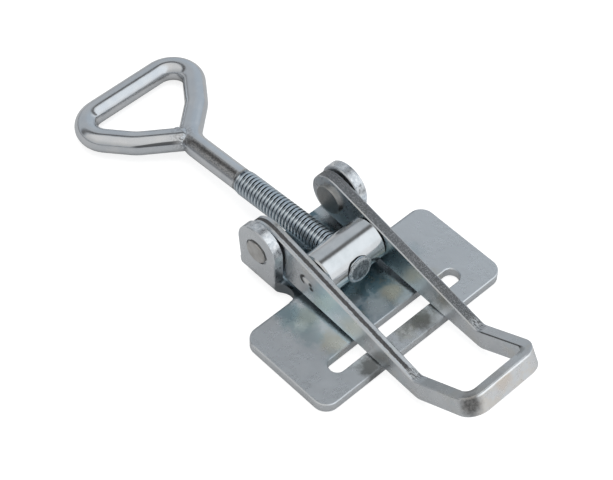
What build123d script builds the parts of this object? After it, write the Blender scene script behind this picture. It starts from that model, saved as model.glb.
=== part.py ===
from build123d import *
import math
import os

# Over centre toggle latch, millimetres.
# +X runs from the pulling eye towards the lever's handle, +Z up from the mounting face.
# The origin is the centre of the flat plate's footprint, on the mounting face.

# Base plate: one folded sheet
sheet_thickness = 4.4
plate_length = 42.4
plate_width = 90.0
plate_corner_radius = 5.5
channel_length = 26.7
ear_width = 19.4
ear_front_lean = 6.0
ear_round_height = 19.6
ear_flare_radius = 4.0
bend_inner_radius = 2.5
notch_half_span = 18.3
slot_width = 6.6
slot_length = 64.0
slot_to_rear_edge = 11.3
channel_lap = 2.0
sheet_edge_break = 0.35

# Lever: one bent flat bar
bar_thickness = 4.4
lever_inner_width = 27.2
ear_gap = 0.7
lever_end_radius = 9.6
knee_overhang = 17.8
knee_width = 8.3
knee_slant = 21.0
knee_top_radius = 2.5
knee_bottom_radius = 6.0
handle_length = 29.4
handle_rise = 29.0
handle_corner_radius = 7.5
bar_edge_break = 0.35
rest_gap = 0.2

# Pivot rivets
pivot_height = 18.3
rivet_diameter = 8.0
rivet_outer_head_diameter = 9.4
rivet_outer_head = 0.5
rivet_inner_head_diameter = 12.2
rivet_inner_head = 1.4
rivet_head_chamfer = 0.35
rivet_recess_depth = 0.8
rivet_recess_clearance = 0.7
rivet_recess_shift = 0.4
running_clearance = 0.05

# Trunnion
trunnion_reach = 20.9
trunnion_height = 15.1
trunnion_diameter = 17.2
trunnion_end_gap = 0.35
trunnion_pin_diameter = 8.0
trunnion_edge_chamfer = 0.6

# Eye bolt
thread_diameter = 10.0
shank_diameter = 9.2
thread_length = 54.0
tail_length = 9.2
tail_chamfer = 0.8
eye_neck = 85.0
weld_setback = 1.0
eye_far_side = 122.9
eye_shoulder = 98.0
eye_shoulder_half_width = 15.2
eye_half_width = 34.0
eye_neck_radius = 12.0
eye_shoulder_radius = 17.5
eye_corner_radius = 9.2

# Planes and lines that several pieces share
plate_front = -plate_length / 2
plate_rear = plate_length / 2
channel_front = plate_front - channel_length
pivot_x = channel_front + ear_width / 2
lever_outer_width = lever_inner_width + 2 * bar_thickness
ear_inner_width = lever_outer_width + 2 * ear_gap
ear_outer_width = ear_inner_width + 2 * sheet_thickness
ear_top = ear_round_height + ear_width / 2
bend_outer_radius = bend_inner_radius + sheet_thickness
ear_foot = sheet_thickness + ear_flare_radius
front_tangent = Vector(pivot_x, ear_round_height) - Vector(ear_width / 2, 0).rotate(Axis.Z, ear_front_lean)
front_slope = math.tan(math.radians(ear_front_lean))
front_at_foot = front_tangent.X + (front_tangent.Y - ear_foot) * front_slope
floor_front = front_tangent.X + front_tangent.Y * front_slope
trunnion_x = pivot_x + trunnion_reach
eye_tilt = math.degrees(math.asin((trunnion_height - shank_diameter / 2) / eye_far_side))

# Rod frame: local x runs down the rod from the trunnion to the eye, local z is square to the eye
rod_direction = Vector(-1, 0, 0).rotate(Axis.Y, -eye_tilt)
rod_plane = Plane(
    origin=(trunnion_x, 0, trunnion_height),
    x_dir=rod_direction,
    z_dir=Vector(0, 0, 1).rotate(Axis.Y, -eye_tilt),
)
rod_section = Plane(origin=rod_plane.origin, x_dir=(0, 1, 0), z_dir=rod_direction)

os.makedirs("parts", exist_ok=True)


# The slotted plate is blanked first, with its sheared edges broken.
with BuildPart() as plate_blank:
    with BuildSketch():
        RectangleRounded(plate_length, plate_width, plate_corner_radius)
    extrude(amount=sheet_thickness)
    with BuildSketch():
        with Locations((plate_rear - slot_to_rear_edge, 0)):
            SlotOverall(slot_length, slot_width, rotation=90)
    extrude(amount=sheet_thickness, mode=Mode.SUBTRACT)
    chamfer(plate_blank.edges().group_by(Axis.Z)[-1] + plate_blank.edges().group_by(Axis.Z)[0], sheet_edge_break)

# The base plate is folded from one sheet: the plate, a channel floor in front of it and two ears.
with BuildPart() as base_plate:
    with BuildSketch(Plane.YZ.offset(channel_front)) as channel_section:
        with BuildLine():
            outline = Polyline(
                (-ear_outer_width / 2, ear_foot),
                (-ear_outer_width / 2, 0),
                (ear_outer_width / 2, 0),
                (ear_outer_width / 2, ear_foot),
                (ear_inner_width / 2, ear_foot),
                (ear_inner_width / 2, sheet_thickness),
                (-ear_inner_width / 2, sheet_thickness),
                (-ear_inner_width / 2, ear_foot),
                close=True,
            )
        make_face()
        fillet(channel_section.vertices().group_by(Axis.Y)[1], bend_inner_radius)
        fillet(channel_section.vertices().group_by(Axis.Y)[0], bend_outer_radius)
    extrude(amount=channel_length + channel_lap)
    # The side outline leaves a low neck behind the ears.
    with BuildSketch(Plane.XZ) as fold_outline:
        with BuildLine():
            Polyline(
                (front_at_foot, ear_foot),
                (floor_front, 0),
                (plate_front + channel_lap, 0),
                (plate_front + channel_lap, sheet_thickness),
                (pivot_x + ear_width / 2, sheet_thickness),
                (pivot_x + ear_width / 2, ear_foot),
                close=True,
            )
        make_face()
        flare_corner = (pivot_x + ear_width / 2, sheet_thickness)
        fillet(fold_outline.vertices().sort_by_distance(flare_corner)[0], ear_flare_radius)
    extrude(amount=ear_outer_width / 2, both=True, mode=Mode.INTERSECT)
    # The ears stand on the folds, with their sheared edges broken.
    for side in (-1, 1):
        with BuildPart(mode=Mode.PRIVATE) as ear:
            with BuildSketch(Plane.XZ.offset(-side * ear_inner_width / 2)):
                with BuildLine():
                    Line((front_at_foot, ear_foot), (pivot_x + ear_width / 2, ear_foot))
                    Line((pivot_x + ear_width / 2, ear_foot), (pivot_x + ear_width / 2, ear_round_height))
                    ThreePointArc(
                        (pivot_x + ear_width / 2, ear_round_height),
                        (pivot_x, ear_top),
                        front_tangent,
                    )
                    Line(front_tangent, (front_at_foot, ear_foot))
                make_face()
            extrude(amount=-side * sheet_thickness)
            rim = ear.edges().filter_by(lambda edge: edge.center().Z > ear_foot and edge.length > sheet_thickness)
            chamfer(rim, sheet_edge_break)
        add(ear.part)
    add(plate_blank.part)
    # A round ended notch frees each fold from the plate.
    notch_width = channel_length - ear_width
    notch_reach = plate_width / 2 - notch_half_span
    with BuildSketch() as notches:
        for side in (-1, 1):
            with Locations(((plate_front - notch_width / 2), side * (notch_half_span + notch_reach / 2))):
                SlotOverall(notch_reach, notch_width, rotation=90)
    extrude(amount=ear_top, mode=Mode.SUBTRACT)
    # Rivet holes run through both ears, with a shallow recess round each outer head.
    with BuildSketch(Plane.XZ):
        with Locations((pivot_x, pivot_height)):
            Circle(rivet_diameter / 2)
    extrude(amount=ear_outer_width / 2, both=True, mode=Mode.SUBTRACT)
    for side in (-1, 1):
        recess_floor = side * (ear_outer_width / 2 - rivet_recess_depth)
        with BuildSketch(Plane.XZ.offset(-recess_floor)):
            with Locations((pivot_x + rivet_recess_shift, pivot_height + rivet_recess_shift)):
                Circle(rivet_outer_head_diameter / 2 + rivet_recess_clearance)
        extrude(amount=-side * rivet_recess_depth, mode=Mode.SUBTRACT)
base_plate.part.label = "base_plate"
export_step(base_plate.part, "parts/base_plate.step")


# The lever's side view is the hull of the round pivot end and the knee, then the rising handle.
pivot = Vector(pivot_x, pivot_height)
rest_point = Vector(plate_rear, sheet_thickness + rest_gap)
to_rest = rest_point - pivot
rest_angle = math.degrees(math.atan2(to_rest.Y, to_rest.X))
bottom_angle = rest_angle + math.degrees(math.asin(lever_end_radius / to_rest.length))
knee_bottom = rest_point + Vector(knee_overhang, 0).rotate(Axis.Z, bottom_angle)
knee_top = knee_bottom + Vector(0, knee_width).rotate(Axis.Z, knee_slant)
to_knee = knee_top - pivot
knee_angle = math.degrees(math.atan2(to_knee.Y, to_knee.X))
top_angle = knee_angle - math.degrees(math.asin(lever_end_radius / to_knee.length))
bottom_tangent = pivot + Vector(0, -lever_end_radius).rotate(Axis.Z, bottom_angle)
top_tangent = pivot + Vector(0, lever_end_radius).rotate(Axis.Z, top_angle)
handle_width = knee_width * math.cos(math.radians(handle_rise - knee_slant))
handle_end_bottom = knee_bottom + Vector(handle_length, 0).rotate(Axis.Z, handle_rise)
handle_end_top = handle_end_bottom + Vector(0, handle_width).rotate(Axis.Z, handle_rise)
handle_plane = Plane(
    origin=(handle_end_bottom.X, 0, handle_end_bottom.Y),
    x_dir=Vector(1, 0, 0).rotate(Axis.Y, -handle_rise),
    z_dir=Vector(0, 0, 1).rotate(Axis.Y, -handle_rise),
)
lever_reach = handle_end_top.X - pivot_x + handle_length

with BuildPart() as lever:
    with BuildSketch(Plane.XZ) as lever_side:
        with BuildLine():
            Line(bottom_tangent, knee_bottom)
            Line(knee_bottom, handle_end_bottom)
            Line(handle_end_bottom, handle_end_top)
            Line(handle_end_top, knee_top)
            Line(knee_top, top_tangent)
            ThreePointArc(top_tangent, pivot - Vector(lever_end_radius, 0), bottom_tangent)
        make_face()
        fillet(lever_side.vertices().sort_by_distance(knee_top)[0], knee_top_radius)
        fillet(lever_side.vertices().sort_by_distance(knee_bottom)[0], knee_bottom_radius)
    extrude(amount=lever_outer_width / 2, both=True)
    bend_edges = lever.edges().filter_by(
        lambda edge: edge.center().X > handle_end_bottom.X - handle_width and abs(edge.center().Y) > 1
    ).sort_by(Axis.X)[-2:]
    fillet(bend_edges, handle_corner_radius)
    # The opening between the arms ends in the bar's inner bends.
    with BuildSketch(handle_plane) as lever_opening:
        with Locations((-bar_thickness, 0)):
            Rectangle(2 * lever_reach, lever_inner_width, align=(Align.MAX, Align.CENTER))
        fillet(lever_opening.vertices().group_by(Axis.X)[-1], handle_corner_radius - bar_thickness)
    extrude(amount=lever_reach, both=True, mode=Mode.SUBTRACT)
    chamfer(lever.edges().filter_by(lambda edge: edge.length > bar_thickness), bar_edge_break)
    # Both arms are bored for the pivot rivets and for the trunnion's pins.
    with BuildSketch(Plane.XZ):
        with Locations((pivot_x, pivot_height)):
            Circle(rivet_diameter / 2 + running_clearance)
        with Locations((trunnion_x, trunnion_height)):
            Circle(trunnion_pin_diameter / 2 + running_clearance)
    extrude(amount=lever_outer_width, both=True, mode=Mode.SUBTRACT)
lever.part.label = "lever"
export_step(lever.part, "parts/lever.step")


# Two short rivets, one through each ear and arm, leave the middle of the channel free for the rod.
rivet_outer_end = ear_outer_width / 2 + rivet_outer_head
rivet_inner_end = lever_inner_width / 2 - rivet_inner_head


def build_rivet(side):
    with BuildPart() as rivet:
        with BuildSketch(Plane.XZ.offset(-side * rivet_inner_end)):
            with Locations((pivot_x, pivot_height)):
                Circle(rivet_diameter / 2)
        extrude(amount=-side * (rivet_outer_end - rivet_inner_end))
        for head_diameter, head_start, head_height in (
            (rivet_inner_head_diameter, rivet_inner_end, rivet_inner_head),
            (
                rivet_outer_head_diameter,
                ear_outer_width / 2 - rivet_recess_depth,
                rivet_recess_depth + rivet_outer_head,
            ),
        ):
            with BuildSketch(Plane.XZ.offset(-side * head_start)):
                with Locations((pivot_x, pivot_height)):
                    Circle(head_diameter / 2)
            extrude(amount=-side * head_height)
        rims = rivet.edges().filter_by(GeomType.CIRCLE).sort_by(Axis.Y)
        chamfer([rims[0], rims[-1]], rivet_head_chamfer)
    return rivet.part


for side, name in ((-1, "pivot_rivet_left"), (1, "pivot_rivet_right")):
    pivot_rivet = build_rivet(side)
    pivot_rivet.label = name
    export_step(pivot_rivet, f"parts/{name}.step")


# The trunnion is a turned barrel with a pin at each end, cross drilled for the rod.
barrel_length = lever_inner_width - 2 * trunnion_end_gap
with BuildPart() as trunnion:
    with BuildSketch(Plane.XZ):
        with Locations((trunnion_x, trunnion_height)):
            Circle(trunnion_diameter / 2)
    extrude(amount=barrel_length / 2, both=True)
    chamfer(trunnion.edges().filter_by(GeomType.CIRCLE), trunnion_edge_chamfer)
    with BuildSketch(Plane.XZ):
        with Locations((trunnion_x, trunnion_height)):
            Circle(trunnion_pin_diameter / 2)
    extrude(amount=lever_outer_width / 2, both=True)
    with BuildSketch(rod_section):
        Circle(thread_diameter / 2 + running_clearance)
    extrude(amount=trunnion_diameter, both=True, mode=Mode.SUBTRACT)
trunnion.part.label = "trunnion"
export_step(trunnion.part, "parts/trunnion.step")


# The eye bolt is one rod: a chamfered tail, the thread, the plain shank and the bent, welded eye.
eye_corners = [
    (eye_neck, 0),
    (eye_shoulder, -eye_shoulder_half_width),
    (eye_far_side, -eye_half_width),
    (eye_far_side, eye_half_width),
    (eye_shoulder, eye_shoulder_half_width),
    (eye_neck + weld_setback, 0),
]
with BuildPart() as eye_bolt:
    with BuildSketch(rod_section.offset(-tail_length)):
        Circle(thread_diameter / 2)
    extrude(amount=tail_length + thread_length)
    chamfer(eye_bolt.edges().filter_by(GeomType.CIRCLE), tail_chamfer)
    with BuildLine(rod_plane) as eye_path:
        FilletPolyline(
            (thread_length - tail_chamfer, 0),
            *eye_corners,
            radius=[
                eye_neck_radius,
                eye_shoulder_radius,
                eye_corner_radius,
                eye_corner_radius,
                eye_shoulder_radius,
            ],
        )
    with BuildSketch(rod_section.offset(thread_length - tail_chamfer)):
        Circle(shank_diameter / 2)
    sweep(path=eye_path.wire())
eye_bolt.part.label = "eye_bolt"
export_step(eye_bolt.part, "parts/eye_bolt.step")
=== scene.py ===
import math

import bpy
from mathutils import Matrix, Vector


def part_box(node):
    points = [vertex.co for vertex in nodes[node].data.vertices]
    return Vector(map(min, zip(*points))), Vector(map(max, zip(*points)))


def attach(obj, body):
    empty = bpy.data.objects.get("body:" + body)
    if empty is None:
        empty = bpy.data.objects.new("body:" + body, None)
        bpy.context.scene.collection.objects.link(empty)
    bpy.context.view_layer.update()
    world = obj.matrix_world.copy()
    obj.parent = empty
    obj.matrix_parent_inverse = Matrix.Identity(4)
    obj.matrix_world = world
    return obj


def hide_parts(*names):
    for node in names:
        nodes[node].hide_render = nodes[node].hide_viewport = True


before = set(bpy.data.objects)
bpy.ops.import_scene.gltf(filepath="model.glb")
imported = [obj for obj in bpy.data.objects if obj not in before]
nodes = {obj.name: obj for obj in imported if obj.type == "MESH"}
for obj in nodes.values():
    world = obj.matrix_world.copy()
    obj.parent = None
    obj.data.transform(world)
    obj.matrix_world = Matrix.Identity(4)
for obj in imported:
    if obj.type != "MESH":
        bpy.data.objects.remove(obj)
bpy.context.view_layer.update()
scene = bpy.context.scene
MM = 0.001

# Sizes shared with the CAD source, in millimetres
trunnion_low, trunnion_high = (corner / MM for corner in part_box("trunnion"))
trunnion_x = (trunnion_low.x + trunnion_high.x) / 2
trunnion_z = (trunnion_low.z + trunnion_high.z) / 2
arm_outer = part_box("lever")[1].y / MM
bar_thickness = 4.4
arm_inner = arm_outer - bar_thickness
plate_top = 4.4
handle_rise = math.radians(29.0)
handle_top = -7.71  # height of the handle's top face, measured square to it
handle_start = 55.0

# The rod, measured along it from the trunnion's axis: the thread towards the eye, the tail away
thread_radius = 5.0
thread_pitch = 1.68
thread_depth = 0.92
thread_end = 54.0
thread_run_out = 2.2
thread_lead_in = 1.2
lead_in_depth = 0.9
root_share = 0.05  # shares of half a pitch
flank_share = 0.42
thread_start = trunnion_x - thread_end
tail_length = 9.2
upset_start = 8.45
upset_radius = 5.0
upset_swell = 0.62
hub_radius = 1.2
hub_depth = 0.25
shank_radius = 4.6
eye_radius = shank_radius - 0.015
eye_far_side = 122.9
eye_tilt = math.asin((trunnion_z - shank_radius) / eye_far_side)
eye_corners = [(85.0, 0), (98.0, -15.2), (122.9, -34.0), (122.9, 34.0), (98.0, 15.2), (86.0, 0)]
eye_radii = [12.0, 17.5, 9.2, 9.2, 17.5]
RING_POINTS = 64
RINGS_PER_PITCH = 14
LONGEST_STEP = 1.5

# Weld metal proud of the crease where the near bar ends on the shank: centre and half sizes
WELD_BEADS = [
    ((-103.9, -3.0, 11.0), (2.3, 1.5, 0.9)),
    ((-102.3, -3.6, 10.2), (1.5, 1.2, 0.9)),
    ((-101.7, -4.4, 8.6), (1.1, 0.8, 1.3)),
    ((-106.4, -1.2, 10.9), (1.9, 1.1, 0.7)),
]
BEAD_LEVELS = 12
BEAD_POINTS = 20

ZINC = (0.665, 0.69, 0.715)
ZINC_LIGHT = (0.73, 0.75, 0.77)
TEAL = (0.37, 0.50, 0.54)
TAN = (0.64, 0.60, 0.49)
WHITE = (1.0, 1.0, 1.0)
BLACK = (0.05, 0.05, 0.05)

# Stains on the plate's top face, where the bath drained: x, y, radius, tint and amount
PLATE_STAINS = [
    (-13.5, -25.2, 6.0, (0.40, 0.57, 0.60), 0.65),
    (-10.5, -26.3, 2.6, (0.84, 0.95, 0.94), 0.85),
    (-12.0, -22.0, 3.6, (0.56, 0.64, 0.60), 0.7),
    (2.0, -23.2, 4.4, TAN, 0.65),
    (-5.5, -27.0, 4.5, TEAL, 0.55),
    (-19.0, -26.0, 4.2, (0.24, 0.36, 0.42), 0.6),
    (18.6, -20.8, 4.0, (0.13, 0.135, 0.13), 0.8),
    (9.0, -27.5, 4.0, TEAL, 0.4),
    (16.0, 6.5, 4.6, (0.20, 0.19, 0.165), 0.8),
    (16.5, -1.0, 3.6, TAN, 0.4),
    (-8.0, 24.0, 5.5, TEAL, 0.35),
    (6.0, 23.0, 4.2, TAN, 0.35),
]


# ---------------------------------------------------------------- materials

class Finish:
    """A node material on object coordinates in millimetres."""

    def __init__(self, name):
        self.material = bpy.data.materials.new(name)
        self.material.use_nodes = True
        self.tree = self.material.node_tree
        self.tree.nodes.clear()
        output = self.node("ShaderNodeOutputMaterial")
        self.bsdf = self.node("ShaderNodeBsdfPrincipled")
        self.link(self.bsdf.outputs["BSDF"], output.inputs["Surface"])
        scale = self.node("ShaderNodeVectorMath", operation="SCALE")
        self.link(self.node("ShaderNodeTexCoord").outputs["Object"], scale.inputs[0])
        scale.inputs["Scale"].default_value = 1 / MM
        self.place = scale.outputs[0]
        self.x, self.y, self.z = self.split(self.place)
        self.nx, self.ny, self.nz = self.split(self.node("ShaderNodeTexCoord").outputs["Normal"])
        self.across = self.math("ABSOLUTE", self.y)
        self.colour = None
        self.bump_normal = None

    def node(self, kind, **settings):
        made = self.tree.nodes.new(kind)
        for key, value in settings.items():
            setattr(made, key, value)
        return made

    def link(self, source, target):
        self.tree.links.new(source, target)

    def feed(self, value, target):
        if isinstance(value, bpy.types.NodeSocket):
            self.link(value, target)
        else:
            target.default_value = value

    def split(self, vector):
        made = self.node("ShaderNodeSeparateXYZ")
        self.link(vector, made.inputs[0])
        return made.outputs

    def rod(self):
        """Distance along the rod from the trunnion, and distance from the rod's axis."""
        away = self.vector("SUBTRACT", self.place, (trunnion_x, 0, trunnion_z))
        axis = (-math.cos(eye_tilt), 0, -math.sin(eye_tilt))
        along = self.vector("DOT_PRODUCT", away, axis, "Value")
        cross = self.vector("CROSS_PRODUCT", away, axis)
        return along, self.vector("LENGTH", cross, None, "Value")

    def vector(self, operation, first, second, output=0):
        made = self.node("ShaderNodeVectorMath", operation=operation)
        self.feed(first, made.inputs[0])
        if second is not None:
            self.feed(second, made.inputs[1])
        return made.outputs[output]

    def math(self, operation, first, second=0.0, third=None, clamp=False):
        made = self.node("ShaderNodeMath", operation=operation, use_clamp=clamp)
        for value, target in zip((first, second, third), made.inputs):
            if value is not None:
                self.feed(value, target)
        return made.outputs[0]

    def all(self, *masks):
        result = masks[0]
        for mask in masks[1:]:
            result = self.math("MULTIPLY", result, mask)
        return result

    def step(self, value, low, high, bottom=0.0, top=1.0):
        """Goes smoothly from bottom to top as value goes from low to high."""
        made = self.node("ShaderNodeMapRange", interpolation_type="SMOOTHSTEP")
        for amount, target in zip((value, low, high, bottom, top), made.inputs):
            self.feed(amount, target)
        return made.outputs[0]

    def fall(self, value, low, high):
        return self.step(value, low, high, 1.0, 0.0)

    def band(self, value, low, high, soft):
        rise = self.step(value, low - soft, low + soft)
        return self.all(rise, self.fall(value, high - soft, high + soft))

    def noise(self, size, detail=3.0, rough=0.5, stretch=(1, 1, 1), offset=0.0, distortion=0.0):
        move = self.node("ShaderNodeVectorMath", operation="MULTIPLY_ADD")
        self.link(self.place, move.inputs[0])
        move.inputs[1].default_value = [1 / (size * part) for part in stretch]
        move.inputs[2].default_value = (offset, offset * 0.7, offset * 1.3)
        made = self.node("ShaderNodeTexNoise")
        self.link(move.outputs[0], made.inputs["Vector"])
        made.inputs["Scale"].default_value = 1.0
        made.inputs["Detail"].default_value = detail
        made.inputs["Roughness"].default_value = rough
        made.inputs["Distortion"].default_value = distortion
        return made.outputs["Fac"]

    def spot(self, centre, radius, soft=0.6, stretch=(1, 1, 1), ragged=0.0, offset=0.0):
        """1 inside a soft, ragged ball, 0 outside."""
        away = self.vector("SUBTRACT", self.place, centre)
        squeezed = self.vector("DIVIDE", away, [radius * part for part in stretch])
        distance = self.vector("LENGTH", squeezed, None, "Value")
        if ragged:
            wobble = self.noise(radius * 0.5, 4, 0.6, offset=offset)
            wobble = self.math("MULTIPLY_ADD", wobble, ragged, -ragged / 2)
            distance = self.math("ADD", distance, wobble)
        return self.fall(distance, 1 - soft, 1 + soft)

    def mix(self, amount, first, second):
        made = self.node("ShaderNodeMix", data_type="RGBA")
        self.feed(amount, made.inputs[0])
        for value, target in ((first, made.inputs[6]), (second, made.inputs[7])):
            if isinstance(value, tuple):
                value = (*value, 1.0)
            self.feed(value, target)
        return made.outputs[2]

    def paint(self, tint, amount, *masks):
        """Lays a tint over the colour so far, by amount, where every mask is 1."""
        self.colour = self.mix(self.all(*masks, amount), self.colour, tint)

    def zinc(self, offset):
        """Clouded bright zinc with a fine grain: sets the colour, returns the two noises."""
        cloud = self.noise(7, 4, 0.6, offset=offset)
        self.colour = self.mix(self.step(cloud, 0.32, 0.7), ZINC, ZINC_LIGHT)
        grain = self.noise(0.55, 3, 0.65, offset=offset + 3)
        self.paint((0.50, 0.53, 0.56), 1.0, self.step(grain, 0.55, 0.78, 0.0, 0.35))
        pits = self.noise(1.6, 4, 0.7, offset=offset + 6)
        self.paint((0.34, 0.36, 0.38), 1.0, self.step(pits, 0.66, 0.72, 0.0, 0.3))
        return cloud, grain

    def bump(self, height, distance, strength=1.0):
        made = self.node("ShaderNodeBump")
        self.link(height, made.inputs["Height"])
        made.inputs["Distance"].default_value = distance * MM
        made.inputs["Strength"].default_value = strength
        if self.bump_normal is not None:
            self.link(self.bump_normal, made.inputs["Normal"])
        self.bump_normal = made.outputs["Normal"]

    def finish(self, roughness):
        self.feed(self.colour, self.bsdf.inputs["Base Color"])
        self.feed(roughness, self.bsdf.inputs["Roughness"])
        self.bsdf.inputs["Metallic"].default_value = 1.0
        self.link(self.bump_normal, self.bsdf.inputs["Normal"])
        return self.material


def dress(obj, material):
    obj.data.materials.clear()
    obj.data.materials.append(material)


def sheet_finish():
    f = Finish("bright_zinc_sheet")
    cloud, grain = f.zinc(2.0)
    top = f.all(f.step(f.nz, 0.5, 0.9), f.fall(f.z, 7, 8))
    # The plate's top face carries a painted reflection, lighter to the right and towards its front
    # edge.
    drift = f.math("ADD", f.y, f.math("MULTIPLY", f.noise(14, 3, 0.5, offset=33.0), 40.0))
    reflection_lightening = f.step(drift, -20, 50, 0.35, 0.8)
    reflection_lightening = f.math("ADD", reflection_lightening, f.step(f.x, 2, 18, 0.0, 0.3), clamp=True)
    f.paint((0.83, 0.86, 0.885), 1.0, top, reflection_lightening)
    for x, y, radius, tint, amount in PLATE_STAINS:
        patch = f.spot((x, y, plate_top), radius, 0.55, (1, 1, 3), 1.5, x + 40)
        f.paint(tint, amount, patch)
    # Between the arms the plate is painted dark as painted shade and a painted reflection of the
    # arms, with two light patches.
    between = f.all(top, f.fall(f.across, arm_inner - 0.3, arm_inner + 0.6))
    mottle = f.noise(6.5, 5, 0.62, offset=23.0, distortion=0.6)
    between_shade = f.mix(f.step(mottle, 0.40, 0.62), (0.13, 0.225, 0.275), (0.44, 0.51, 0.55))
    specks = f.noise(3.0, 5, 0.7, offset=27.0)
    between_shade = f.mix(f.step(specks, 0.52, 0.66, 0.0, 0.5), between_shade, (0.33, 0.31, 0.25))
    for x, y, tint in ((0.5, 7.5, (0.50, 0.47, 0.38)), (1.5, -1.0, (0.52, 0.58, 0.60))):
        patch = f.spot((x, y, plate_top), 4.6, 0.6, (0.8, 1, 2), 1.1, x + 9)
        between_shade = f.mix(f.math("MULTIPLY", patch, 0.9), between_shade, tint)
    f.paint(between_shade, 1.0, between, f.step(f.x, 1, 12, 0.92, 0.0))
    # Under the arms it is shaded too, and so is the strip in front of the slot.
    under = f.all(top, f.band(f.across, arm_inner - 0.6, arm_outer + 1.6, 0.5), f.fall(f.x, 6, 9))
    shade = f.mix(f.step(f.y, -2, 2), (0.62, 0.74, 0.79), (0.60, 0.66, 0.69))
    f.paint(shade, 0.85, under)
    front = f.all(top, f.step(f.across, arm_outer + 1.5, arm_outer - 1), f.band(f.x, 12.5, 18, 1.5))
    front = f.all(front, f.step(f.noise(3, 4, 0.6, offset=51.0), 0.42, 0.6))
    f.paint((0.26, 0.27, 0.24), 0.55, front)
    # Painted shade darkens the sheet low down at the ears' feet.
    fold_shade = f.all(f.step(f.z, 9.5, 5.0), f.step(f.x, -30.5, -28), f.fall(f.x, -21.5, -20))
    f.paint((0.12, 0.15, 0.17), 0.8, fold_shade)
    # The ears' rolled rims are scuffed dark and painted bright in turns as patchy painted
    # highlights, with a painted white glint on one.
    rim = f.all(f.step(f.z, 12, 16), f.step(f.math("ABSOLUTE", f.ny), 0.75, 0.5))
    scuff_and_sheen = f.noise(2.1, 5, 0.7, offset=77.0)
    f.paint((0.95, 0.955, 0.96), 1.0, rim, f.step(scuff_and_sheen, 0.50, 0.60, 0.0, 0.9))
    f.paint((0.20, 0.205, 0.21), 1.0, rim, f.step(scuff_and_sheen, 0.43, 0.36, 0.0, 0.75))
    f.paint(WHITE, 1.0, rim, f.spot((-34.0, -22.0, 25.0), 2.3, 0.35, (0.8, 1.3, 1.4), 0.9, 5.0))
    f.bump(grain, 0.02, 0.6)
    f.bump(f.noise(2.2, 3, 0.5, offset=88.0), 0.10, 0.35)
    f.bump(cloud, 0.3, 0.3)
    return f.finish(f.step(f.noise(5, 4, 0.6, offset=9.0), 0.3, 0.75, 0.25, 0.36))


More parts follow.
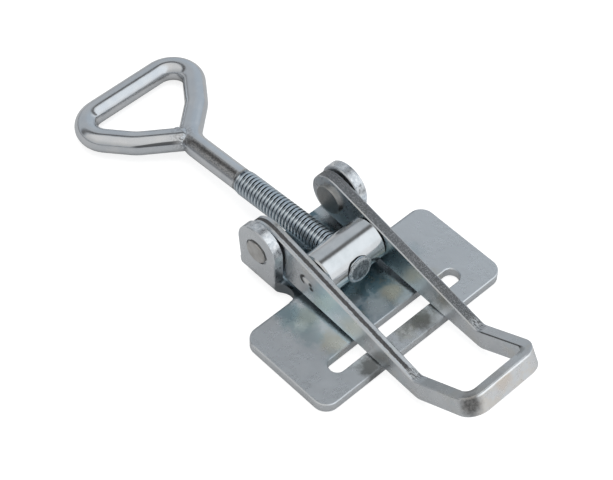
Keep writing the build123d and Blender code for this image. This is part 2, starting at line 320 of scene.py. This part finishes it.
def bar_finish():
    f = Finish("bright_zinc_bar")
    cloud, grain = f.zinc(3.0)
    f.paint((0.66, 0.62, 0.54), 0.35, f.step(f.noise(10, 3, 0.6, offset=21.0), 0.48, 0.68))
    f.paint((0.60, 0.69, 0.74), 0.3, f.step(f.noise(9, 3, 0.6, offset=61.0), 0.5, 0.68))
    edge_face = f.math("SUBTRACT", 1.0, f.step(f.math("ABSOLUTE", f.ny), 0.2, 0.5))
    arm = f.all(edge_face, f.fall(f.x, 34.0, 37.5))
    left = f.fall(f.y, -1, 1)
    right = f.math("SUBTRACT", 1.0, left)
    grit = f.noise(0.32, 5, 0.72, offset=8.0)

    # The left arm's edge tore in a narrow dark band; the right arm's is coarse all over.
    wander = f.math("SUBTRACT", f.noise(1.4, 3, 0.6, offset=5.0), 0.5)
    wander = f.math("ADD", f.across, f.math("MULTIPLY", wander, 0.7))
    torn = f.all(f.band(wander, arm_outer - 2.75, arm_outer - 1.25, 0.14), arm, left)
    f.paint(f.mix(f.step(grit, 0.42, 0.66), (0.055, 0.05, 0.05), (0.20, 0.19, 0.185)), 0.93, torn)
    coarse = f.all(f.band(f.across, arm_inner + 0.3, arm_outer - 0.45, 0.2), arm, right)
    f.paint(f.mix(f.step(grit, 0.47, 0.66), (0.08, 0.08, 0.085), (0.54, 0.55, 0.56)), 0.85, coarse)
    knee = f.all(edge_face, f.band(f.x, 31.5, 37.5, 1.2),
                 f.band(f.across, arm_inner + 0.5, arm_outer - 0.8, 0.2))
    lines = f.step(f.noise(0.5, 3, 0.6, (2.5, 0.6, 2.5), 15.0), 0.42, 0.55)
    f.paint(f.mix(lines, (0.06, 0.06, 0.06), (0.8, 0.81, 0.82)), 0.7, knee)

    # The cross bar's outer face is painted pale as a painted reflection, with a warm patch, and a
    # painted highlight runs along its top edge.
    outer_face_reflection = f.all(f.step(f.x, 58.0, 60.0), f.step(f.nx, 0.55, 0.8))
    pale = f.step(f.noise(6, 4, 0.6, offset=19.0), 0.40, 0.62)
    f.paint(f.mix(pale, (0.955, 0.97, 0.985), (0.97, 0.93, 0.88)), 0.95, outer_face_reflection)
    warm_patch = f.spot((62.0, -2.0, 24.5), 4.4, 0.5, (1, 1, 1), 1.0, 13.0)
    f.paint((0.93, 0.83, 0.73), 1.0, outer_face_reflection, warm_patch, f.step(f.y, -6, -4, 0.4, 0.75))
    rise = (-math.sin(handle_rise), 0, math.cos(handle_rise))
    wavy = f.math("MULTIPLY_ADD", f.noise(5, 3, 0.5, offset=29.0), 0.9, -0.45)
    level = f.math("ADD", f.vector("DOT_PRODUCT", f.place, rise, "Value"), wavy)
    end_of_handle = (f.step(f.x, handle_start, 58.0), f.step(f.nx, 0.2, 0.4))
    shine = f.all(f.band(level, handle_top - 0.85, handle_top - 0.12, 0.1), *end_of_handle)
    f.paint(WHITE, 0.95, shine)
    roll = f.all(f.step(level, handle_top - 1.2, handle_top - 0.05), *end_of_handle)

    # Painted shade darkens a crease along the handle's inner top edge and the inner bends, with a
    # smudge outside the left bend.
    crease_shade = f.all(f.band(f.across, arm_inner - 0.5, arm_inner + 0.35, 0.12),
                       f.step(f.nz, 0.1, 0.35), f.step(f.x, 37.0, 38.5), f.fall(f.x, 55.5, 57.0))
    f.paint((0.12, 0.115, 0.11), 0.85, crease_shade)
    for side in (-1, 1):
        corner = (55.8, side * (arm_inner - 2.2), 23.0)
        f.paint((0.13, 0.12, 0.11), 0.5, f.spot(corner, 2.4, 0.35, (1, 1, 0.8), 0.9, 3.0 + side))
    smudge = f.spot((60.2, -15.6, 21.5), 3.5, 0.6, (1, 0.9, 1.5), 0.7, 7.0)
    soot_and_dark_reflection = f.step(f.noise(0.8, 4, 0.6, offset=71.0), 0.35, 0.65)
    f.paint(f.mix(soot_and_dark_reflection, (0.06, 0.055, 0.05), (0.24, 0.23, 0.22)), 0.85, smudge)
    ends = f.all(f.step(f.nz, 0.6, 0.85), f.step(f.x, 38, 40))
    f.paint((0.42, 0.41, 0.39), f.step(f.y, -1, 1, 0.4, 0.1), ends)

    # Between the arms the faces carry painted shade and a painted reflection of the stained plate;
    # the left arm is paler outside.
    inner_face_reflection = f.all(f.step(f.math("ABSOLUTE", f.ny), 0.7, 0.9),
                   f.step(f.across, arm_inner + 0.3, arm_inner + 0.1),
                   f.fall(f.x, 14, 24), f.step(f.x, -27, -20))
    reflection_patchiness = f.step(f.noise(5, 4, 0.6, offset=81.0), 0.42, 0.6, 0.35, 0.8)
    f.paint((0.22, 0.29, 0.31), reflection_patchiness, inner_face_reflection)
    outer_left = f.all(f.step(f.ny, -0.8, -0.95), f.step(f.x, -14, -8), f.fall(f.x, 8, 16))
    f.paint((0.80, 0.90, 0.94), 0.75, outer_left)

    sheared = f.math("ADD", torn, coarse)
    f.bump(roll, -0.3, 1.0)
    f.bump(f.math("MULTIPLY", grit, sheared), 0.15, 0.8)
    f.bump(grain, 0.02, 0.4)
    f.bump(cloud, 0.3, 0.25)
    rough = f.step(f.noise(4, 4, 0.6, offset=9.0), 0.3, 0.75, 0.25, 0.36)
    return f.finish(f.math("ADD", rough, f.math("MULTIPLY", sheared, 0.2)))


def rivet_finish():
    f = Finish("brushed_rivet")
    cloud = f.noise(2.5, 4, 0.6, offset=1.0)
    f.colour = f.mix(f.step(cloud, 0.3, 0.7), (0.46, 0.45, 0.43), (0.58, 0.57, 0.555))
    specks = f.noise(0.6, 4, 0.7, offset=5.0)
    f.paint((0.25, 0.24, 0.23), 1.0, f.step(specks, 0.6, 0.7, 0.0, 0.4))
    # The right rivet is painted darker, as painted shade between the arms.
    f.paint((0.30, 0.31, 0.31), 1.0, f.step(f.y, -1, 1, 0.0, 0.35))
    f.bump(f.noise(0.5, 4, 0.6, offset=3.0), 0.03, 0.6)
    f.bump(cloud, 0.25, 0.5)
    return f.finish(f.step(cloud, 0.3, 0.7, 0.38, 0.28))


def barrel_finish():
    f = Finish("bright_zinc_barrel")
    turned = f.noise(0.35, 2, 0.5, stretch=(60, 1, 60), offset=6.0)
    cloud = f.noise(5, 3, 0.5, offset=12.0)
    f.colour = f.mix(f.step(cloud, 0.35, 0.7), (0.78, 0.79, 0.80), (0.71, 0.73, 0.74))
    specks = f.noise(0.5, 4, 0.7, offset=2.0)
    f.paint((0.45, 0.45, 0.44), 1.0, f.step(specks, 0.62, 0.72, 0.0, 0.3))
    # The barrel's underside towards +x is painted dark teal, as painted shade with a painted
    # reflection of the plate.
    f.paint((0.34, 0.42, 0.41), 0.6, f.step(f.nz, 0.25, -0.1), f.step(f.nx, 0.2, 0.5))
    # The pins' ends are peened flush with the arms, with punch marks painted black as painted shade
    # and a painted white glint.
    pin = f.step(f.across, arm_inner + 0.2, arm_inner + 0.6)
    f.paint((0.64, 0.665, 0.69), 1.0, pin)
    face = f.step(f.across, arm_outer - 0.15, arm_outer - 0.05)
    away = f.vector("SUBTRACT", f.place, (trunnion_x - 0.9, 0, trunnion_z + 1.3))
    flat = f.vector("LENGTH", f.vector("MULTIPLY", away, (1, 0, 1)), None, "Value")
    ring = f.all(face, f.band(flat, 1.25, 2.45, 0.14),
                 f.fall(f.x, trunnion_x - 1.6, trunnion_x - 0.6))
    f.paint(BLACK, 0.95, ring)
    centre = (trunnion_x + 0.2, -arm_outer, trunnion_z + 1.5)
    f.paint((1.0, 0.99, 0.98), 0.95, face, f.spot(centre, 1.45, 0.3, (1.2, 1, 0.9), 0.6, 3.0))
    dots = f.math("MAXIMUM", f.spot((trunnion_x + 1.9, -arm_outer, trunnion_z + 0.9), 0.85, 0.3),
                  f.spot((trunnion_x + 2.5, -arm_outer, trunnion_z - 0.9), 0.95, 0.3))
    dots = f.all(face, dots)
    f.paint(BLACK, 0.95, dots)
    f.bump(turned, 0.02, 0.2)
    f.bump(f.math("ADD", ring, dots), -0.1, 0.8)
    f.bump(cloud, 0.2, 0.15)
    rough = f.step(cloud, 0.3, 0.7, 0.10, 0.16)
    return f.finish(f.math("ADD", rough, f.math("MULTIPLY", pin, 0.18)))


def bolt_finish():
    f = Finish("bright_zinc_bolt")
    along, away = f.rod()
    upward = f.step(f.nz, -0.2, 0.2)
    cloud = f.noise(6, 4, 0.5, offset=2.0)
    f.colour = f.mix(f.step(cloud, 0.35, 0.7), (0.66, 0.685, 0.715), (0.73, 0.74, 0.755))

    # The thread: blue grey ribs with painted shade in the roots, a painted highlight along one line
    # of its top and a row of painted dark reflection on its crests.
    thread = f.all(f.step(along, thread_end + 0.6, thread_end - 0.6),
                   f.step(along, -tail_length + 0.3, -tail_length + 0.6))
    root_shade = f.fall(away, thread_radius - 0.7, thread_radius - 0.2)
    f.paint((0.57, 0.65, 0.71), 0.75, thread)
    highlight_line = f.all(f.band(f.y, -3.0, -1.7, 0.45), upward)
    f.paint((0.84, 0.89, 0.92), 0.7, thread, highlight_line)
    root_shade_share = f.math("SUBTRACT", 0.95, f.math("MULTIPLY", highlight_line, 0.6))
    f.paint((0.045, 0.075, 0.105), 1.0, thread, root_shade, root_shade_share)
    dark_reflection_row = f.all(f.band(f.y, -1.3, 1.1, 0.3), upward,
                     f.fall(away, thread_radius - 0.3, thread_radius - 0.05))
    f.paint((0.03, 0.045, 0.06), 0.85, thread, dark_reflection_row)

    # The upset end: a rough, split face, a bright lip, and painted shade on the neck against the
    # barrel.
    grit = f.noise(1.5, 5, 0.75, offset=14.0, distortion=0.8)
    ragged = f.math("ADD", away, f.math("MULTIPLY", grit, 2.6))
    last = f.step(along, -tail_length + 0.9, -tail_length + 0.5)
    end = f.all(last, f.step(ragged, 5.6, 5.2))
    f.paint(f.mix(f.step(grit, 0.42, 0.60), (0.10, 0.115, 0.13), (0.52, 0.55, 0.58)), 0.9, end)
    f.paint((0.93, 0.94, 0.95), 0.9, last, f.band(ragged, 5.7, 6.6, 0.2))
    f.paint(BLACK, 1.0, f.step(along, -8.75, -8.55), f.fall(along, -8.3, -8.0))

    # A wedge of painted dark reflection lies on the near bar by the weld, fainter on the shank; a
    # speckled strip of painted dark reflection runs along the shank, and the weld left a rough
    # neck.
    over = f.math("SUBTRACT", f.step(f.x, -120, -105, 0.50, 0.69), f.nz)
    outward = f.step(f.ny, -0.15, -0.3)
    soot_and_dark_reflection = f.all(f.step(over, -0.01, 0.03), f.step(f.nz, 0.41, 0.47), outward,
                 f.step(f.x, -121, -114), f.step(f.y, -0.6, -1.6), f.step(f.y, -20, -17))
    f.paint((0.075, 0.078, 0.085), f.step(f.x, -104, -101, 0.88, 0.3), soot_and_dark_reflection)
    dark_reflection_strip = f.all(f.band(f.x, -101.5, thread_start - 0.5, 0.6), f.band(f.y, -3.6, -0.5, 0.35),
                   f.step(f.nz, 0.1, 0.4))
    speckle = f.step(f.noise(0.5, 4, 0.7, offset=17.0), 0.40, 0.60)
    f.paint(f.mix(speckle, (0.10, 0.095, 0.09), (0.50, 0.46, 0.42)), 0.66, dark_reflection_strip)
    weld = f.all(f.spot((-103.0, -2.2, 10.0), 5.0, 0.4),
                 f.step(f.noise(0.9, 4, 0.7, offset=44.0), 0.45, 0.55))
    f.paint((0.20, 0.20, 0.21), 0.35, weld)

    rough_end = f.step(along, -tail_length + 1.0, -tail_length + 0.6)
    f.bump(f.math("MULTIPLY", grit, rough_end), 0.9, 0.9)
    f.bump(cloud, 0.35, 0.2)
    f.bump(f.noise(1.2, 3, 0.5, offset=5.0), 0.02, 0.2)
    rough = f.step(f.noise(4, 3, 0.5, offset=9.0), 0.3, 0.7, 0.12, 0.19)
    return f.finish(f.math("ADD", rough, f.math("MULTIPLY", end, 0.2)))


# ---------------------------------------------------------------- eye bolt

def rounded_path(points, radii, arc_steps=22):
    """Straight runs joined by tangent arcs."""
    path = [Vector(points[0])]
    for before, corner, after, radius in zip(points, points[1:], points[2:], radii):
        before, corner, after = Vector(before), Vector(corner), Vector(after)
        back = (before - corner).normalized()
        ahead = (after - corner).normalized()
        half = back.angle(ahead) / 2
        centre = corner + (back + ahead).normalized() * radius / math.sin(half)
        start = corner + back * radius / math.tan(half) - centre
        turn = math.pi - 2 * half
        way = -1 if back.x * ahead.y - back.y * ahead.x > 0 else 1
        for index in range(arc_steps + 1):
            path.append(centre + Matrix.Rotation(way * turn * index / arc_steps, 2) @ start)
    path.append(Vector(points[-1]))
    return path


def refine(path, longest):
    dense = [path[0]]
    for start, end in zip(path, path[1:]):
        count = max(1, math.ceil((end - start).length / longest))
        dense += [start.lerp(end, index / count) for index in range(1, count + 1)]
    return dense


def to_frame(along, across, height):
    """Rod coordinates to the shared frame, in metres."""
    x = trunnion_x - along * math.cos(eye_tilt) - height * math.sin(eye_tilt)
    z = trunnion_z - along * math.sin(eye_tilt) + height * math.cos(eye_tilt)
    return Vector((x, -across, z)) * MM


def clamp(value):
    return min(max(value, 0), 1)


def thread_radius_at(along, angle):
    """The thread's wide crest and narrow root, its run-out and lead-in, and the upset end."""
    if along < -upset_start:
        # The end is upset over the barrel so that the rod can't be unscrewed.
        reach = (-upset_start - along) / (tail_length - upset_start)
        swell = math.sin(math.pi * (0.12 + 0.78 * reach))
        lumps = 0.10 * math.sin(3 * angle + 1) + 0.07 * math.sin(7 * angle)
        return upset_radius + upset_swell * swell + lumps
    turn = (along / thread_pitch - angle / (2 * math.pi)) % 1.0
    height = clamp((abs(turn - 0.5) * 2 - root_share) / flank_share)
    height = height * height * (3 - 2 * height) * 0.35 + height * 0.65
    run_out = clamp((thread_end - along) / thread_run_out)
    lead_in = clamp((along + tail_length) / thread_lead_in)
    crest = shank_radius + (thread_radius - shank_radius) * run_out
    crest -= lead_in_depth * (1 - lead_in)
    return crest - thread_depth * (1 - height) * run_out * (0.4 + 0.6 * lead_in)


class Skin:
    """Rings of points in the shared frame, bridged one after another into a closed surface."""

    def __init__(self):
        self.vertices, self.faces = [], []

    def ring(self, points):
        start = len(self.vertices)
        self.vertices.extend(points)
        return range(start, start + len(points))

    def bridge(self, first, second):
        for index in range(len(first)):
            after = (index + 1) % len(first)
            self.faces.append((first[index], first[after], second[after], second[index]))


def sweep_rod(skin):
    """The threaded run from the tail, then the shank and the eye as one sweep."""
    angles = [2 * math.pi * index / RING_POINTS for index in range(RING_POINTS)]
    steps = int((thread_end + tail_length) / thread_pitch * RINGS_PER_PITCH)
    previous = None
    for index in range(steps + 1):
        along = -tail_length + (thread_end + tail_length) * index / steps
        points = []
        for angle in angles:
            radius = thread_radius_at(along, angle)
            points.append(to_frame(along, radius * math.cos(angle), radius * math.sin(angle)))
        current = skin.ring(points)
        if previous:
            skin.bridge(current, previous)
        else:
            # The tail's end face is dished around a small hub.
            hub = skin.ring([
                to_frame(along + hub_depth, hub_radius * math.cos(a), hub_radius * math.sin(a))
                for a in angles
            ])
            skin.bridge(current, hub)
            skin.faces.append(tuple(hub))
        previous = current
    path = refine(rounded_path([(thread_end, 0)] + eye_corners, eye_radii), LONGEST_STEP)
    for index, place in enumerate(path):
        ahead = path[min(index + 1, len(path) - 1)] - path[max(index - 1, 0)]
        across = Vector((-ahead.y, ahead.x)).normalized()
        points = []
        for angle in angles:
            side = place + across * eye_radius * math.cos(angle)
            points.append(to_frame(side.x, side.y, eye_radius * math.sin(angle)))
        current = skin.ring(points)
        skin.bridge(current, previous)
        previous = current
    skin.faces.append(tuple(reversed(previous)))


def lay_bead(skin, centre, size):
    """One lumpy ellipsoid of weld metal."""
    previous = None
    for level in range(1, BEAD_LEVELS):
        polar = math.pi * level / BEAD_LEVELS
        points = []
        for index in range(BEAD_POINTS):
            angle = 2 * math.pi * index / BEAD_POINTS
            lump = 1 + 0.06 * math.sin(3 * angle + 0.5 * level)
            lump += 0.03 * math.sin(5 * angle - 0.7 * level)
            flat = math.sin(polar)
            direction = (flat * math.cos(angle), flat * math.sin(angle), math.cos(polar))
            point = [c + d * r * lump for c, d, r in zip(centre, direction, size)]
            points.append(Vector(point) * MM)
        current = skin.ring(points)
        if previous:
            skin.bridge(previous, current)
        else:
            skin.faces.append(tuple(current))
        previous = current
    skin.faces.append(tuple(reversed(previous)))


def build_eye_bolt():
    skin = Skin()
    sweep_rod(skin)
    for centre, size in WELD_BEADS:
        lay_bead(skin, centre, size)
    mesh = bpy.data.meshes.new("eye_bolt_threaded")
    mesh.from_pydata(skin.vertices, [], skin.faces)
    mesh.validate()
    mesh.polygons.foreach_set("use_smooth", [len(face.vertices) == 4 for face in mesh.polygons])
    mesh.update()
    obj = bpy.data.objects.new("eye_bolt_threaded", mesh)
    scene.collection.objects.link(obj)
    return obj


eye_bolt = build_eye_bolt()
dress(eye_bolt, bolt_finish())
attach(eye_bolt, "eye")
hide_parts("eye_bolt")

dress(nodes["base_plate"], sheet_finish())
dress(nodes["lever"], bar_finish())
rivet_material = rivet_finish()
dress(nodes["pivot_rivet_left"], rivet_material)
dress(nodes["pivot_rivet_right"], rivet_material)
dress(nodes["trunnion"], barrel_finish())


# ---------------------------------------------------------------- stage

FLOOR_HALF = 4.0
FLOOR_DROP = 0.0002
FLOOR_GREY = 0.38
FLOOR_GLOW = 0.78
FLOOR_IN_METAL = 0.12  # share of the glow that glossy rays meet
HORIZON_GREY = (0.42, 0.43, 0.445)
LAMP_PLACE = (-0.2, 0.15, 1.1)
LAMP_SIZE = 1.2
LAMP_POWER = 9

# The camera that was solved from the photograph
PHOTO_WIDTH = 613
FOCAL_PIXELS = 1857.3
SENSOR_WIDTH = 36
CAMERA_PLACE = (268.73, -294.63, 539.92)
CAMERA_RIGHT = (0.68522, 0.72827, 0.01043)
CAMERA_DOWN = (0.57431, -0.53145, -0.62268)
CAMERA_AHEAD = (-0.44793, 0.43266, -0.78241)


def build_floor():
    """A plain floor, white to the camera and grey in metal, which keeps the object's shadow."""
    mesh = bpy.data.meshes.new("floor")
    half, low = FLOOR_HALF, -FLOOR_DROP
    corners = [(-half, -half, low), (half, -half, low), (half, half, low), (-half, half, low)]
    mesh.from_pydata(corners, [], [(0, 1, 2, 3)])
    floor = bpy.data.objects.new("floor", mesh)
    scene.collection.objects.link(floor)
    material = bpy.data.materials.new("plain_floor")
    material.use_nodes = True
    tree = material.node_tree
    tree.nodes.clear()

    def combine(operation, *values):
        made = tree.nodes.new("ShaderNodeMath")
        made.operation = operation
        for value, target in zip(values, made.inputs):
            if isinstance(value, float):
                target.default_value = value
            else:
                tree.links.new(value, target)
        return made.outputs[0]

    rays = tree.nodes.new("ShaderNodeLightPath").outputs
    straight = combine("ADD", rays["Is Camera Ray"], rays["Is Transmission Ray"])
    seen = combine("MULTIPLY_ADD", rays["Is Glossy Ray"], FLOOR_IN_METAL, straight)
    glow = tree.nodes.new("ShaderNodeEmission")
    tree.links.new(combine("MULTIPLY", seen, FLOOR_GLOW), glow.inputs["Strength"])
    diffuse = tree.nodes.new("ShaderNodeBsdfDiffuse")
    diffuse.inputs["Color"].default_value = (FLOOR_GREY, FLOOR_GREY, FLOOR_GREY, 1)
    both = tree.nodes.new("ShaderNodeAddShader")
    tree.links.new(diffuse.outputs[0], both.inputs[0])
    tree.links.new(glow.outputs[0], both.inputs[1])
    output = tree.nodes.new("ShaderNodeOutputMaterial")
    tree.links.new(both.outputs[0], output.inputs["Surface"])
    mesh.materials.append(material)


def build_world():
    world = bpy.data.worlds.new("studio")
    scene.world = world
    world.use_nodes = True
    tree = world.node_tree
    tree.nodes.clear()

    def node(kind, **settings):
        made = tree.nodes.new(kind)
        for key, value in settings.items():
            setattr(made, key, value)
        return made

    def link(source, target):
        tree.links.new(source, target)

    direction = node("ShaderNodeTexCoord").outputs["Generated"]

    def towards(aim):
        """Cosine of the angle to a direction."""
        dot = node("ShaderNodeVectorMath", operation="DOT_PRODUCT")
        link(direction, dot.inputs[0])
        dot.inputs[1].default_value = Vector(aim).normalized()
        return dot.outputs["Value"]

    def ramp(value, low, high, bottom=0.0, top=1.0):
        made = node("ShaderNodeMapRange", interpolation_type="SMOOTHSTEP")
        link(value, made.inputs[0])
        for amount, target in zip((low, high, bottom, top), made.inputs[1:]):
            target.default_value = amount
        return made.outputs[0]

    def panel(aim, inner, outer):
        """1 near a direction, 0 away from it; the angles are in degrees."""
        return ramp(towards(aim), math.cos(math.radians(outer)), math.cos(math.radians(inner)))

    def over(below, amount, colour):
        mixed = node("ShaderNodeMix", data_type="RGBA")
        link(amount, mixed.inputs[0])
        if isinstance(below, tuple):
            mixed.inputs[6].default_value = (*below, 1)
        else:
            link(below, mixed.inputs[6])
        mixed.inputs[7].default_value = (*colour, 1)
        return mixed.outputs[2]

    def both(first, second, operation="MULTIPLY"):
        made = node("ShaderNodeMath", operation=operation)
        link(first, made.inputs[0])
        link(second, made.inputs[1])
        return made.outputs[0]

    # Grey walls, bluish at the back, and a warm white tent in front
    facing = towards((0.717, -0.566, 0.404))
    height = node("ShaderNodeSeparateXYZ")
    link(direction, height.inputs[0])
    height = height.outputs["Z"]
    room = over(HORIZON_GREY, ramp(height, 0.02, 0.34), (0.50, 0.525, 0.55))
    room = over(room, panel((-0.25, 0.95, 0.3), 10, 50), (0.52, 0.575, 0.63))
    tent = both(ramp(facing, 0.10, 0.26), ramp(height, 0.1, 0.3))
    room = over(room, tent, (0.60, 0.60, 0.59))
    room = over(room, both(tent, ramp(height, 0.3, 0.8)), (0.80, 0.79, 0.775))
    # A large cool window to the right, and a low light beside it that the handle's end mirrors
    room = over(room, panel((0.64, 0.44, 0.61), 30, 56), (0.96, 1.01, 1.05))
    room = over(room, panel((0.9, 0.42, 0.12), 6, 24), (0.86, 0.88, 0.90))
    # The dark gap between the tent and the walls, and a dark base at the left
    gap = both(ramp(facing, -0.24, -0.08), ramp(facing, 0.03, 0.12, 1.0, 0.0))
    room = over(room, both(gap, ramp(height, 0.12, 0.34)), (0.135, 0.135, 0.135))
    base = both(panel((-0.5, -0.85, 0.0), 45, 80), ramp(height, 0.04, 0.16, 1.0, 0.0))
    room = over(room, base, (0.27, 0.28, 0.29))

    rays = node("ShaderNodeLightPath").outputs
    seen = both(rays["Is Camera Ray"], rays["Is Transmission Ray"], "ADD")
    background = node("ShaderNodeBackground")
    link(over(room, seen, WHITE), background.inputs["Color"])
    link(background.outputs[0], node("ShaderNodeOutputWorld").inputs["Surface"])


def add_lamp():
    lamp = bpy.data.lights.new("overhead_soft_box", "AREA")
    lamp.shape = "SQUARE"
    lamp.size = LAMP_SIZE
    lamp.energy = LAMP_POWER
    obj = bpy.data.objects.new("overhead_soft_box", lamp)
    scene.collection.objects.link(obj)
    obj.location = LAMP_PLACE
    obj.rotation_euler = (-Vector(LAMP_PLACE)).to_track_quat("-Z", "Y").to_euler()
    obj.visible_glossy = False


def add_camera():
    camera_data = bpy.data.cameras.new("camera")
    camera_data.sensor_width = SENSOR_WIDTH
    camera_data.lens = SENSOR_WIDTH * FOCAL_PIXELS / PHOTO_WIDTH
    camera_data.clip_start = 0.01
    camera_data.clip_end = 20
    camera = bpy.data.objects.new("camera", camera_data)
    scene.collection.objects.link(camera)
    right, down, ahead = Vector(CAMERA_RIGHT), Vector(CAMERA_DOWN), Vector(CAMERA_AHEAD)
    turn = Matrix((right, -down, -ahead)).transposed().to_4x4()
    camera.matrix_world = Matrix.Translation(Vector(CAMERA_PLACE) * MM) @ turn
    scene.camera = camera


build_floor()
build_world()
add_lamp()
add_camera()
scene.view_settings.view_transform = "Standard"
